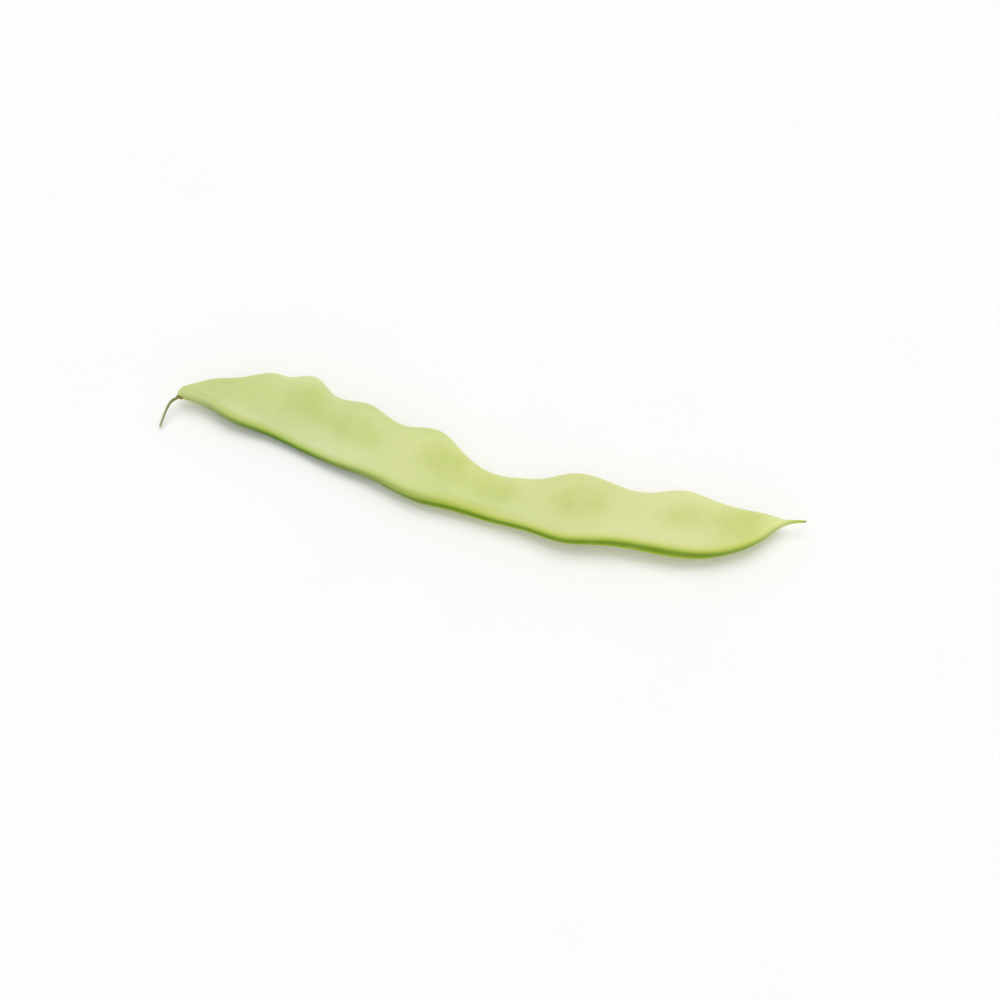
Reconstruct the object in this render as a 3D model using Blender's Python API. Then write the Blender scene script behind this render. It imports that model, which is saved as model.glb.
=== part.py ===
"""A fresh flat bean pod lying on a surface, with its dry collar and its thin snapped stalk.

The pod is lofted between two edges: the smooth lower edge, which carries the seam of the two
halves, and the upper edge, which waves over the seeds. Each section is a flattened round that
swells over a seed. Sizes are in millimetres here, and the meshes are made in metres, +Z up.
"""

import math

import bpy
import numpy as np
from mathutils import Vector

MM = 0.001
GAP = 0.3  # left between two pieces that touch

# The pod's zero, the crook where its stalk begins, seen from the middle of the whole object.
PLACE_X, PLACE_Y = -108.2, 4.86

# A station is a section's place along the pod: the X of its end on the lower edge.
POD_START, POD_END = 2.2, 220.0
# Runs of sections as (from, to, how many), closer together where the pod narrows.
STATION_RUNS = ((POD_START, 4.0, 7), (4.0, 10.0, 6), (10.0, 206.0, 94), (206.0, POD_END, 12))

# Edges in plan, as (station, Y). The upper edge rises over each seed.
LOWER_EDGE = (
    (2.2, -0.35), (5, -0.6), (10, -1.5), (20, -5.2), (30, -6.6), (45, -9.9), (60, -14.2),
    (75, -17.5), (90, -22.2), (100, -22.9), (120, -24.5), (130, -25.5), (142, -27.8),
    (155, -26.0), (170, -24.9), (180, -24.6), (190, -22.5), (200, -17.5), (207.5, -10.7),
    (213, -3.9), (216, -2.0), (220, -0.9),
)
UPPER_EDGE = (
    (2.2, -0.15), (2.5, 0.8), (3.0, 2.0), (3.7, 3.3), (4.8, 4.5), (8, 6.7), (12, 9.1), (20, 12.0),
    (30, 16.4), (36, 16.2), (43, 18.2), (48, 16.6), (53, 12.6), (64, 11.1), (70, 10.1),
    (76, 7.1), (83, 5.0), (90, 5.9), (97, 5.5), (105, 0.2), (117, -5.8), (130, -5.6),
    (136, -4.3), (143, -0.7), (152, 0.6), (162, -1.5), (171, -0.7), (180, 3.0), (187, 1.8),
    (195, -0.1), (207, -0.9), (213, -1.6), (216, -1.0), (220, -0.2),
)
# How far a section's upper end lies ahead of its lower end: the sections fan round both ends.
FAN = (
    (2.2, -2.4), (2.5, -2.9), (3.0, -3.3), (3.7, -3.4), (4.8, -3.1), (8, -2.5), (12, -2.1),
    (20, -0.8), (28, 0), (40, 0), (190, 0), (203, 2.0), (213, 1.0), (220, 0),
)
# Thickness between the seeds, height of the middle above the surface, and twist in degrees,
# which lifts the upper edge at the stalk end and the lower edge at the beak end.
THICKNESS = (
    (2.2, 1.7), (3.0, 3.0), (5, 4.6), (12, 6.0), (25, 6.8), (45, 7.2), (110, 7.2), (170, 7.0),
    (190, 6.2), (203, 4.8), (209, 3.6), (213, 2.3), (216, 1.6), (220, 0.8),
)
HEIGHT = (
    (2.2, 5.2), (20, 4.9), (44, 4.2), (66, 4.9), (90, 5.2), (104, 4.9), (118, 4.25), (131, 4.8),
    (147, 5.5), (164, 5.15), (181, 4.3), (200, 4.7), (220, 4.7),
)
TWIST = ((2.2, 4), (60, 7), (120, 0), (180, -5), (220, -4))
ROUNDNESS = 2.3  # power of the section's superellipse: 2 is an ellipse, more is fuller

# Seeds as (station, place across the half width, swelling of each face).
SEEDS = (
    (27, 0.15, 0.9), (46, 0.25, 1.35), (65, 0.1, 1.3), (97, 0.15, 1.35), (118, 0.0, 1.0),
    (145, 0.0, 1.4), (162, 0.05, 1.1), (180, 0.08, 1.35), (198, 0.1, 0.9),
)
SEED_LENGTH, SEED_WIDTH = 15.0, 11.0
SWELL_ROUNDING = 0.6  # power that fades a swelling out towards the pod's edges: less is fuller

# How far the seam of the lower edge lies above the middle of the pod's thickness.
SEAM_RISE = (
    (2.2, 0), (8, -0.4), (20, -0.8), (60, -0.9), (100, 0.4), (120, 0.25), (140, 0.27), (155, 0.4),
    (168, 0.72), (180, 0.8), (190, 0.4), (200, 0), (210, -0.1), (220, 0),
)
SEAM_DEPTH, SEAM_WIDTH = 0.45, 1.2
LIP_HEIGHT, LIP_WIDTH, LIP_OFFSET = 0.2, 1.0, 1.4
SEAM_FULL_FROM = 10.0  # half width from which the groove and its lips are full size
BEAK_TIP = 0.3

# Degrees round a quarter of the section, from an edge to the middle of a face.
QUARTER = (0, 8, 17, 30, 45, 60, 73, 83, 90)

# The stalk runs from the collar to its snapped end, in the pod's own frame.
STALK_PATH = (
    (-0.5, -1.3, 5.1), (-0.85, -1.6, 5.05), (-1.25, -2.0, 4.95), (-1.7, -2.8, 4.75),
    (-2.05, -3.8, 4.45), (-2.4, -5.4, 3.95), (-2.7, -7.3, 3.2), (-3.0, -8.9, 2.35),
    (-3.2, -10.2, 1.55), (-3.25, -11.1, 1.15),
)
STALK_THICK, STALK_THIN, STALK_TAPER = 1.1, 0.8, 4.0
STALK_FLARE, STALK_FLARE_SHARE = 0.12, 0.12  # how much wider its end is, over what share of it
STALK_RINGS, STALK_SIDES = 30, 12

# The collar repeats the neck's outline at other sizes, as (share of its length, size), and leans
# over towards the stalk.
COLLAR_LENGTH, COLLAR_LEAN, COLLAR_LOBES, COLLAR_LOBE_DEPTH = 0.45, 0.35, 5, 0.07
COLLAR_PROFILE = ((0.0, 0.85), (0.2, 1.0), (0.5, 1.0), (0.8, 0.75), (1.0, 0.5))


def natural_spline(points, at):
    """The smooth curve through (x, y) points, read at each x of an array."""
    x, y = np.array(points, float).T
    step = np.diff(x)
    count = len(x)
    matrix = np.eye(count)
    right = np.zeros(count)
    for i in range(1, count - 1):
        matrix[i, i - 1:i + 2] = step[i - 1], 2 * (step[i - 1] + step[i]), step[i]
        right[i] = 6 * ((y[i + 1] - y[i]) / step[i] - (y[i] - y[i - 1]) / step[i - 1])
    bend = np.linalg.solve(matrix, right)
    k = np.clip(np.searchsorted(x, at) - 1, 0, count - 2)
    after, before = at - x[k], x[k + 1] - at
    cubic = (bend[k] * before**3 + bend[k + 1] * after**3) / (6 * step[k])
    from_left = (y[k] / step[k] - bend[k] * step[k] / 6) * before
    return cubic + from_left + (y[k + 1] / step[k] - bend[k + 1] * step[k] / 6) * after


def unit(vectors):
    """The same directions at length 1."""
    return vectors / np.linalg.norm(vectors, axis=-1)[..., None]


def hump(distance, width):
    """A smooth hump of height 1 that is about a third high at half its width."""
    return np.exp(-((2 * distance / width) ** 2))


def pod_stations():
    """Where the pod's sections stand along it."""
    runs = [np.linspace(a, b, n, endpoint=False) for a, b, n in STATION_RUNS]
    return np.append(np.concatenate(runs), POD_END)


def pod_frames(stations):
    """Middle, half width, and the directions across and out of the face, at each station."""
    fan = natural_spline(FAN, stations)
    lower, upper = natural_spline(LOWER_EDGE, stations), natural_spline(UPPER_EDGE, stations)
    height = natural_spline(HEIGHT, stations)
    twist = np.radians(natural_spline(TWIST, stations))
    rise = np.hypot(fan, upper - lower) / 2 * np.tan(twist)
    low = np.stack([stations, lower, height - rise], -1)
    high = np.stack([stations + fan, upper, height + rise], -1)
    middle, across = (low + high) / 2, (high - low) / 2
    along = unit(np.gradient(middle, stations, axis=0))
    return middle, np.linalg.norm(across, axis=-1), unit(across), unit(np.cross(along, across))


def section_angles(stations, half_thickness):
    """Angle of each point round each section, with one row of points kept on the seam."""
    first_half = list(QUARTER) + [180 - a for a in QUARTER[-2::-1]]
    base = np.radians(first_half + [-a for a in first_half[-2:0:-1]])
    rise = natural_spline(SEAM_RISE, stations) / half_thickness
    shift = np.arcsin(np.sign(rise) * np.abs(rise) ** (ROUNDNESS / 2))
    pull = np.clip(-np.cos(base), 0, None) ** 2
    return base - shift[:, None] * pull


def pod_rings():
    """The pod's sections from its neck to its beak, swollen over the seeds and grooved at the seam."""
    stations = pod_stations()
    middle, half_width, across, outward = pod_frames(stations)
    half_thickness = natural_spline(THICKNESS, stations) / 2
    angle = section_angles(stations, half_thickness)
    cos, sin = np.cos(angle), np.sin(angle)
    v = np.sign(cos) * np.abs(cos) ** (2 / ROUNDNESS) * half_width[:, None]
    n = np.sign(sin) * np.abs(sin) ** (2 / ROUNDNESS) * half_thickness[:, None]
    along = middle[:, :1] + across[:, :1] * v
    swelling = np.zeros_like(v)
    for station, place, height in SEEDS:
        seed_v = place * np.interp(station, stations, half_width)
        swelling += height * hump(along - station, SEED_LENGTH) * hump(v - seed_v, SEED_WIDTH)
    from_seam = n - natural_spline(SEAM_RISE, stations)[:, None]
    groove = SEAM_DEPTH * hump(from_seam, SEAM_WIDTH)
    lips = LIP_HEIGHT * hump(np.abs(from_seam) - LIP_OFFSET, LIP_WIDTH)
    fade = np.clip(half_width / SEAM_FULL_FROM, 0, 1)[:, None]
    v = v + np.where(cos < 0, (groove - lips) * fade, 0)
    n = n + swelling * np.sign(sin) * np.abs(sin) ** SWELL_ROUNDING
    return middle[:, None] + across[:, None] * v[..., None] + outward[:, None] * n[..., None]


def stalk_rings():
    """Rings along the stalk's path: it thins out from the collar and flares at its snapped end."""
    path = np.array(STALK_PATH)
    known = np.linspace(0, 1, len(path))
    t = np.linspace(0, 1, STALK_RINGS)
    centre = np.stack([natural_spline(np.stack([known, path[:, k]], -1), t) for k in range(3)], -1)
    along = unit(np.gradient(centre, t, axis=0))
    side = unit(np.cross(along, (0.0, 0.0, 1.0)))
    other = np.cross(side, along)
    radius = STALK_THIN / 2 + (STALK_THICK - STALK_THIN) / 2 * np.exp(-t * STALK_TAPER)
    radius = radius * (1 + STALK_FLARE * hump(1 - t, STALK_FLARE_SHARE))
    turn = np.linspace(0, 2 * math.pi, STALK_SIDES, endpoint=False)
    spokes = np.cos(turn)[:, None] * side[:, None] + np.sin(turn)[:, None] * other[:, None]
    return centre[:, None] + spokes * radius[:, None, None]


def collar_rings(neck, stalk):
    """Rings of the collar, which follow the neck's outline, with shallow lobes round them."""
    middle = neck[0].mean(0)
    outline = neck[0] - middle
    count = len(outline)
    out = unit(np.cross(outline[count // 4], outline[0]))
    to_stalk = stalk[0].mean(0) - middle
    lean = (to_stalk - out * to_stalk.dot(out)) * COLLAR_LEAN
    turn = np.linspace(0, 2 * math.pi, count, endpoint=False)
    lobed = outline * (1 + COLLAR_LOBE_DEPTH * np.cos(COLLAR_LOBES * turn))[:, None]
    return np.stack([
        middle + out * (GAP + share * COLLAR_LENGTH) + lean * share + lobed * size
        for share, size in COLLAR_PROFILE
    ])


def surface_material(name, hex_colour, roughness):
    """A material of one sRGB colour."""
    channels = [int(hex_colour[i:i + 2], 16) / 255 for i in (0, 2, 4)]
    linear = [c / 12.92 if c <= 0.04045 else ((c + 0.055) / 1.055) ** 2.4 for c in channels]
    material = bpy.data.materials.new(name)
    material.use_nodes = True
    shader = material.node_tree.nodes["Principled BSDF"]
    shader.inputs["Base Color"].default_value = (*linear, 1.0)
    shader.inputs["Roughness"].default_value = roughness
    shader.inputs["Metallic"].default_value = 0.0
    return material


def skin(name, rings, material, end_out=0.0):
    """A closed object over a row of rings, with one point closing each end.

    The rings are in millimetres in the pod's frame. end_out is how far the last point stands out.
    """
    points = (rings + np.array([PLACE_X, PLACE_Y, 0.0])) * MM
    points[..., 2] = np.maximum(points[..., 2], 0.0)  # the lowest seeds rest flat on the surface
    count, sides, _ = points.shape
    first, last = points[0].mean(0), points[-1].mean(0)
    last = last + unit(last - points[-2].mean(0)) * end_out * MM
    vertices = [Vector(p) for p in points.reshape(-1, 3)] + [Vector(first), Vector(last)]
    start_pole, end_pole = len(vertices) - 2, len(vertices) - 1
    faces = []
    for j in range(sides):
        k = (j + 1) % sides
        faces.append((start_pole, k, j))
        faces.append((end_pole, (count - 1) * sides + j, (count - 1) * sides + k))
        for i in range(count - 1):
            row, after = i * sides, (i + 1) * sides
            faces.append((row + j, row + k, after + k, after + j))
    mesh = bpy.data.meshes.new(name)
    mesh.from_pydata(vertices, [], faces)
    if signed_volume(mesh) < 0:
        mesh.flip_normals()
    mesh.shade_smooth()
    mesh.set_sharp_from_angle(angle=math.radians(50))
    mesh.materials.append(material)
    piece = bpy.data.objects.new(name, mesh)
    bpy.context.scene.collection.objects.link(piece)
    return piece


def signed_volume(mesh):
    """Volume of a closed mesh, below zero when its faces point inwards."""
    mesh.calc_loop_triangles()
    corners = [[mesh.vertices[i].co for i in tri.vertices] for tri in mesh.loop_triangles]
    return sum(a.dot(b.cross(c)) for a, b, c in corners) / 6


def main():
    """Clears the scene and makes the three pieces under one empty."""
    for thing in list(bpy.data.objects):
        bpy.data.objects.remove(thing, do_unlink=True)
    whole = bpy.data.objects.new("flat_bean", None)
    bpy.context.scene.collection.objects.link(whole)
    pod, stalk = pod_rings(), stalk_rings()
    pieces = (
        skin("pod", pod, surface_material("pale_green_skin", "CDD991", 0.45), BEAK_TIP),
        skin("calyx", collar_rings(pod, stalk), surface_material("dry_collar", "86693C", 0.8)),
        skin("stem", stalk, surface_material("stalk_green", "90993E", 0.65)),
    )
    for piece in pieces:
        piece.parent = whole


main()
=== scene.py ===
"""Looks of a fresh flat bean pod: its waxy skin, its dry collar and its thin snapped stalk.

Sizes are real ones in millimetres, unless a name says otherwise, in the pod's own frame, whose
zero is the crook where the stalk begins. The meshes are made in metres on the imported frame. The
edges, thickness, seeds and stalk repeat the values that the solids are lofted from.
"""

import logging
import math
from dataclasses import dataclass
from enum import Enum

import bmesh
import bpy
import numpy as np
from mathutils import Matrix, Vector


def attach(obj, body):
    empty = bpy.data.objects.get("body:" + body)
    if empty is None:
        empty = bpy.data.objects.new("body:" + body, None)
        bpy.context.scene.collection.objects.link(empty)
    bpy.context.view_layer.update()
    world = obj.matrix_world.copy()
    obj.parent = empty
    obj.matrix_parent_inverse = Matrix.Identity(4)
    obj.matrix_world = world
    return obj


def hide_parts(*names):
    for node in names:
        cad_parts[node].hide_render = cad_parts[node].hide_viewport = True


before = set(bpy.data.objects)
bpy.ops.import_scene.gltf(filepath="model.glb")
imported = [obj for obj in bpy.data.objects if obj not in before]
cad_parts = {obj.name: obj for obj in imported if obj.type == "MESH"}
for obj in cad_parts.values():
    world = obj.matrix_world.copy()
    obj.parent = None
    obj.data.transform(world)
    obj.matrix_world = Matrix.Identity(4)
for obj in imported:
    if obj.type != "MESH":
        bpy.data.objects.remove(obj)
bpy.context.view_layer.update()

LOG = logging.getLogger("flat_bean")
MM = 0.001
BODY = "root"
SHADER = "Principled BSDF"

# The pod's zero, seen from the middle of the whole object.
PLACE = np.array([-108.2, 4.86, 0.0])

Array = np.ndarray
Range = tuple[float, float]
Rail = tuple[Range, ...]
Path3 = tuple[tuple[float, float, float], ...]
Stops = tuple[tuple[float, str, float], ...]
Tree = bpy.types.NodeTree
Node = bpy.types.Node
Socket = bpy.types.NodeSocket
Material = bpy.types.Material
Mesh = bpy.types.Mesh
Thing = bpy.types.Object


class Field(Enum):
    """Values that a piece's mesh carries and its material reads."""

    ALONG = "along_mm"
    FROM_SEAM = "from_seam_mm"
    FROM_RIM = "from_rim_mm"
    SEED = "seed_share"
    STALK_SHARE = "stalk_share"
    STALK_RIB = "stalk_rib"

    def read(self, tree: Tree) -> Socket:
        """Reads the field in a material or a shape.

        Args:
            tree: the material's or the shape's tree.

        Returns:
            The socket that holds the field.
        """
        if tree.type == "SHADER":
            return add(tree, "ShaderNodeAttribute", attribute_name=self.value).outputs["Fac"]
        return add(tree, "GeometryNodeInputNamedAttribute", {"Name": self.value}).outputs["Attribute"]


def linear(hex_colour: str) -> tuple[float, float, float, float]:
    """Turns an sRGB hex colour into the linear one that Blender works in.

    Args:
        hex_colour: six hex digits, such as "CDD991".

    Returns:
        Red, green, blue and an alpha of 1.
    """
    channels = [int(hex_colour[i:i + 2], 16) / 255 for i in (0, 2, 4)]
    red, green, blue = (c / 12.92 if c <= 0.04045 else ((c + 0.055) / 1.055) ** 2.4 for c in channels)
    return red, green, blue, 1.0


def natural_spline(points: Rail, at: Array) -> Array:
    """Reads the smooth curve through a few points.

    Args:
        points: (x, y) pairs in rising x.
        at: where to read it, of any shape.

    Returns:
        The curve's y at each place.
    """
    x, y = np.array(points, float).T
    step = np.diff(x)
    count = len(x)
    matrix = np.eye(count)
    right = np.zeros(count)
    for i in range(1, count - 1):
        matrix[i, i - 1:i + 2] = step[i - 1], 2 * (step[i - 1] + step[i]), step[i]
        right[i] = 6 * ((y[i + 1] - y[i]) / step[i] - (y[i] - y[i - 1]) / step[i - 1])
    bend = np.linalg.solve(matrix, right)
    k = np.clip(np.searchsorted(x, at) - 1, 0, count - 2)
    after, before = at - x[k], x[k + 1] - at
    cubic = (bend[k] * before**3 + bend[k + 1] * after**3) / (6 * step[k])
    from_left = (y[k] / step[k] - bend[k] * step[k] / 6) * before
    return cubic + from_left + (y[k + 1] / step[k] - bend[k + 1] * step[k] / 6) * after


def unit(vectors: Array) -> Array:
    """The same directions at length 1."""
    return vectors / np.linalg.norm(vectors, axis=-1)[..., None]


def hump(distance: Array, width: float) -> Array:
    """A smooth hump of height 1 that is about a third high at half its width."""
    return np.exp(-((2 * distance / width) ** 2))


def in_frame(points: Array) -> Array:
    """Millimetres in the pod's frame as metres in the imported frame."""
    return (points + PLACE) * MM


def stand(name: str, data: bpy.types.ID) -> Thing:
    """Puts a mesh, curve, light or camera into the scene, at the origin.

    Args:
        name: the new object's name.
        data: what it holds.

    Returns:
        The new object.
    """
    thing = bpy.data.objects.new(name, data)
    bpy.context.scene.collection.objects.link(thing)
    return thing


def aim(thing: Thing, target: Vector, azimuth: float, elevation: float, distance: float) -> None:
    """Moves a light or a camera off a target and turns it to face that.

    Args:
        thing: the light or camera.
        target: the point that it faces.
        azimuth: the way it stands off, 0 from the front and 90 from the right, in degrees.
        elevation: how high it stands, in degrees.
        distance: how far off it stands.
    """
    a, e = math.radians(azimuth), math.radians(elevation)
    way = Vector((math.sin(a) * math.cos(e), -math.cos(a) * math.cos(e), math.sin(e)))
    thing.location = target + way * distance
    thing.rotation_euler = way.to_track_quat("Z", "Y").to_euler()


def socket_of(sockets: bpy.types.bpy_prop_collection, key: int | str | None = None) -> Socket:
    """Finds a socket among those that a node's settings leave in use.

    Args:
        sockets: a node's inputs or outputs.
        key: the socket's name or index, or None for the first in use.

    Returns:
        The socket.
    """
    if isinstance(key, int):
        return sockets[key]
    return next(s for s in sockets if s.enabled and key in (None, s.name))


def feed(node: Node, inputs: dict) -> None:
    """Sets or links a node's inputs.

    Args:
        node: the node.
        inputs: for each input, by name or index, a value, a socket or a node to link from.
    """
    for key, value in inputs.items():
        target = socket_of(node.inputs, key)
        source = socket_of(value.outputs) if isinstance(value, Node) else value
        if isinstance(source, Socket):
            node.id_data.links.new(source, target)
        else:
            target.default_value = source


def add(tree: Tree, kind: str, inputs: dict | None = None, **settings: object) -> Node:
    """Adds a node with its settings, values and links.

    Args:
        tree: the tree that gets the node.
        kind: the node's type, such as "ShaderNodeMath".
        inputs: what its inputs hold or are linked from.
        settings: the node's own properties.

    Returns:
        The new node.
    """
    node = tree.nodes.new(kind)
    for name, value in settings.items():
        setattr(node, name, value)
    feed(node, inputs or {})
    return node


def open_material(name: str) -> tuple[Material, Tree, Socket]:
    """Starts a material.

    Args:
        name: what the finish is.

    Returns:
        The material, its tree and the Object coordinates.
    """
    material = bpy.data.materials.new(name)
    material.use_nodes = True
    place = add(material.node_tree, "ShaderNodeTexCoord").outputs["Object"]
    return material, material.node_tree, place


def colour_run(tree: Tree, field: Field, stops: Stops) -> Node:
    """Reads a run of colours and strengths by one of the skin's fields.

    Args:
        tree: the material's tree.
        field: the field that places the colours.
        stops: place, colour and strength of each.

    Returns:
        The colour ramp, with the strength in its alpha.
    """
    low, high = stops[0][0], stops[-1][0]
    share = add(tree, "ShaderNodeMapRange", {"Value": field.read(tree), "From Min": low, "From Max": high})
    run = add(tree, "ShaderNodeValToRGB", {"Fac": share})
    for at, _, _ in stops[1:-1]:
        run.color_ramp.elements.new((at - low) / (high - low))
    for element, (_, colour, strength) in zip(run.color_ramp.elements, stops):
        element.color = (*linear(colour)[:3], strength)
    return run


def tube_mesh(name: str, rings: Array, tips: tuple[Array, Array]) -> Mesh:
    """Makes a closed mesh over a row of rings, facing outwards.

    Args:
        name: the mesh's name.
        rings: points as (ring, place round it, xyz), in metres.
        tips: the point that closes each end.

    Returns:
        The mesh, whose vertices are the rings in order and then the two tips.
    """
    count, sides, _ = rings.shape
    points = np.vstack([rings.reshape(-1, 3), *tips])
    start_tip, end_tip = len(points) - 2, len(points) - 1
    faces = []
    for j in range(sides):
        k = (j + 1) % sides
        faces.append((start_tip, k, j))
        faces.append((end_tip, (count - 1) * sides + j, (count - 1) * sides + k))
        for row in range(0, (count - 1) * sides, sides):
            faces.append((row + j, row + k, row + sides + k, row + sides + j))
    mesh = bpy.data.meshes.new(name)
    mesh.from_pydata(points.tolist(), [], faces)
    turned = bmesh.new()
    turned.from_mesh(mesh)
    if turned.calc_volume(signed=True) < 0:
        bmesh.ops.reverse_faces(turned, faces=turned.faces)
    turned.to_mesh(mesh)
    turned.free()
    return mesh


def fit_out(piece: Thing, node: str) -> None:
    """Lets a finished piece ride on the body and stand for its solid, and reports it.

    Args:
        piece: the finished object.
        node: the solid that it stands for.
    """
    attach(piece, BODY)
    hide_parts(node)
    LOG.info("%s: %d faces, stands for %s", piece.name, len(piece.data.polygons), node)


class Shape:
    """A geometry tree with a named input for each of its sizes, which makes one piece."""

    def __init__(self, name: str, sizes: dict[str, float]) -> None:
        """Starts the tree.

        Args:
            name: the tree's name.
            sizes: the inputs' names and values.
        """
        self.sizes = sizes
        self.tree = bpy.data.node_groups.new(name, "GeometryNodeTree")
        for way in ("INPUT", "OUTPUT"):
            self.tree.interface.new_socket("Shape", in_out=way, socket_type="NodeSocketGeometry")
        for key, size in sizes.items():
            kind = "NodeSocketInt" if isinstance(size, int) else "NodeSocketFloat"
            self.tree.interface.new_socket(key, in_out="INPUT", socket_type=kind).default_value = size
        start = self.tree.nodes.new("NodeGroupInput")
        self.given = {socket.name: socket for socket in start.outputs if socket.name}

    def grow(self, name: str, source: bpy.types.ID, shape: Node, material: Material) -> Thing:
        """Ends the tree with real, smooth geometry, runs it once and keeps what it makes as a plain mesh.

        Args:
            name: the new piece's name.
            source: the mesh or curve that the tree starts from.
            shape: the node that holds the finished shape.
            material: the material that the shape gets.

        Returns:
            The new object, at the origin, with no modifier left.
        """
        real = add(self.tree, "GeometryNodeRealizeInstances", {"Geometry": shape})
        smooth = add(self.tree, "GeometryNodeSetShadeSmooth", {"Geometry": real})
        dressed = add(self.tree, "GeometryNodeSetMaterial", {"Geometry": smooth, "Material": material})
        add(self.tree, "NodeGroupOutput", {"Shape": dressed})
        carrier = stand(f"{name}_source", source)
        modifier = carrier.modifiers.new(self.tree.name, "NODES")
        modifier.node_group = self.tree
        for item in self.tree.interface.items_tree:
            if item.in_out == "INPUT" and item.name in self.sizes:
                modifier[item.identifier] = self.sizes[item.name]
        graph = bpy.context.evaluated_depsgraph_get()
        mesh = bpy.data.meshes.new_from_object(carrier.evaluated_get(graph), depsgraph=graph)
        carrier.modifiers.remove(modifier)
        bpy.data.objects.remove(carrier, do_unlink=True)
        mesh.name = name
        return stand(name, mesh)


@dataclass(frozen=True)
class Noise:
    """Uneven patches of one size, read between two levels and spread over a range of values."""

    size: float
    detail: float = 2.0
    levels: Range = (0.0, 1.0)
    values: Range = (0.0, 1.0)
    roughness: float = 0.5
    soft: bool = False

    def lay(self, tree: Tree, place: Socket, unit_size: float = MM) -> tuple[Node, Node]:
        """Adds the patches to a tree.

        Args:
            tree: the material's or the shape's tree.
            place: the coordinates that they lie in.
            unit_size: how long the size's own unit is in those.

        Returns:
            The values, and the bare noise that they are read from.
        """
        noise = add(tree, "ShaderNodeTexNoise", {
            "Vector": place, "Scale": 1 / (self.size * unit_size), "Detail": self.detail,
            "Roughness": self.roughness})
        values = add(tree, "ShaderNodeMapRange", {
            "Value": noise, "From Min": self.levels[0], "From Max": self.levels[1],
            "To Min": self.values[0], "To Max": self.values[1]},
            interpolation_type="SMOOTHSTEP" if self.soft else "LINEAR")
        return values, noise


@dataclass(frozen=True)
class Band:
    """A run of colours over one field of the skin.

    Each stop is a place in the field, a colour, and how strongly the colour is laid on there. Soft
    patches thin the band out here and there, and its share can change along the pod.
    """

    field: Field
    stops: Stops
    patchy: float = 0.0
    along: Rail = ()
    patch_size: float = 7.0
    patch_levels: Range = (0.3, 0.7)

    def lay_over(self, tree: Tree, place: Socket, below: Node) -> Node:
        """Lays the band over the colour below it.

        Args:
            tree: the material's tree.
            place: Object coordinates.
            below: the node that holds the colour so far.

        Returns:
            The node that holds the new colour.
        """
        run = colour_run(tree, self.field, self.stops)
        patches = Noise(self.patch_size, levels=self.patch_levels, values=(1 - self.patchy, 1.0))
        factor = add(tree, "ShaderNodeMath", {0: run.outputs["Alpha"], 1: patches.lay(tree, place)[0]},
                     operation="MULTIPLY")
        if self.along:
            share = colour_run(tree, Field.ALONG, tuple((at, "FFFFFF", part) for at, part in self.along))
            factor = add(tree, "ShaderNodeMath", {0: factor, 1: share.outputs["Alpha"]},
                         operation="MULTIPLY")
        return add(tree, "ShaderNodeMix", {"Factor": factor, "A": below, "B": run}, data_type="RGBA")


@dataclass(frozen=True)
class Veins:
    """The net of veins in both faces, which slants away from the seam and is stretched that way."""

    spacing: float = 4.6
    slant: float = 0.9
    slowing: float = 0.42
    wander: float = 6.0
    wander_scale: float = 0.12

    def net(self, tree: Tree, spacing: Socket | float) -> Node:
        """Lays the net over the skin's own two directions.

        Args:
            tree: the material's or the shape's tree.
            spacing: millimetres between veins.

        Returns:
            The node that holds the distance to the nearest vein, in shares of the spacing.
        """
        along, from_seam = Field.ALONG.read(tree), Field.FROM_SEAM.read(tree)
        slanted = add(tree, "ShaderNodeMath", {0: from_seam, 1: -self.slant, 2: along},
                      operation="MULTIPLY_ADD")
        slowed = add(tree, "ShaderNodeMath", {0: from_seam, 1: self.slowing}, operation="MULTIPLY")
        flat = add(tree, "ShaderNodeCombineXYZ", {"X": slanted, "Y": slowed})
        noise = add(tree, "ShaderNodeTexNoise", {"Vector": flat, "Scale": self.wander_scale, "Detail": 2.0})
        bent = add(tree, "ShaderNodeVectorMath", {
            0: noise.outputs["Color"], 1: (self.wander, self.wander, 0.0), 2: flat},
            operation="MULTIPLY_ADD")
        density = add(tree, "ShaderNodeMath", {0: 1.0, 1: spacing}, operation="DIVIDE")
        return add(tree, "ShaderNodeTexVoronoi", {"Vector": bent, "Scale": density},
                   feature="DISTANCE_TO_EDGE", voronoi_dimensions="2D")


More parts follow.
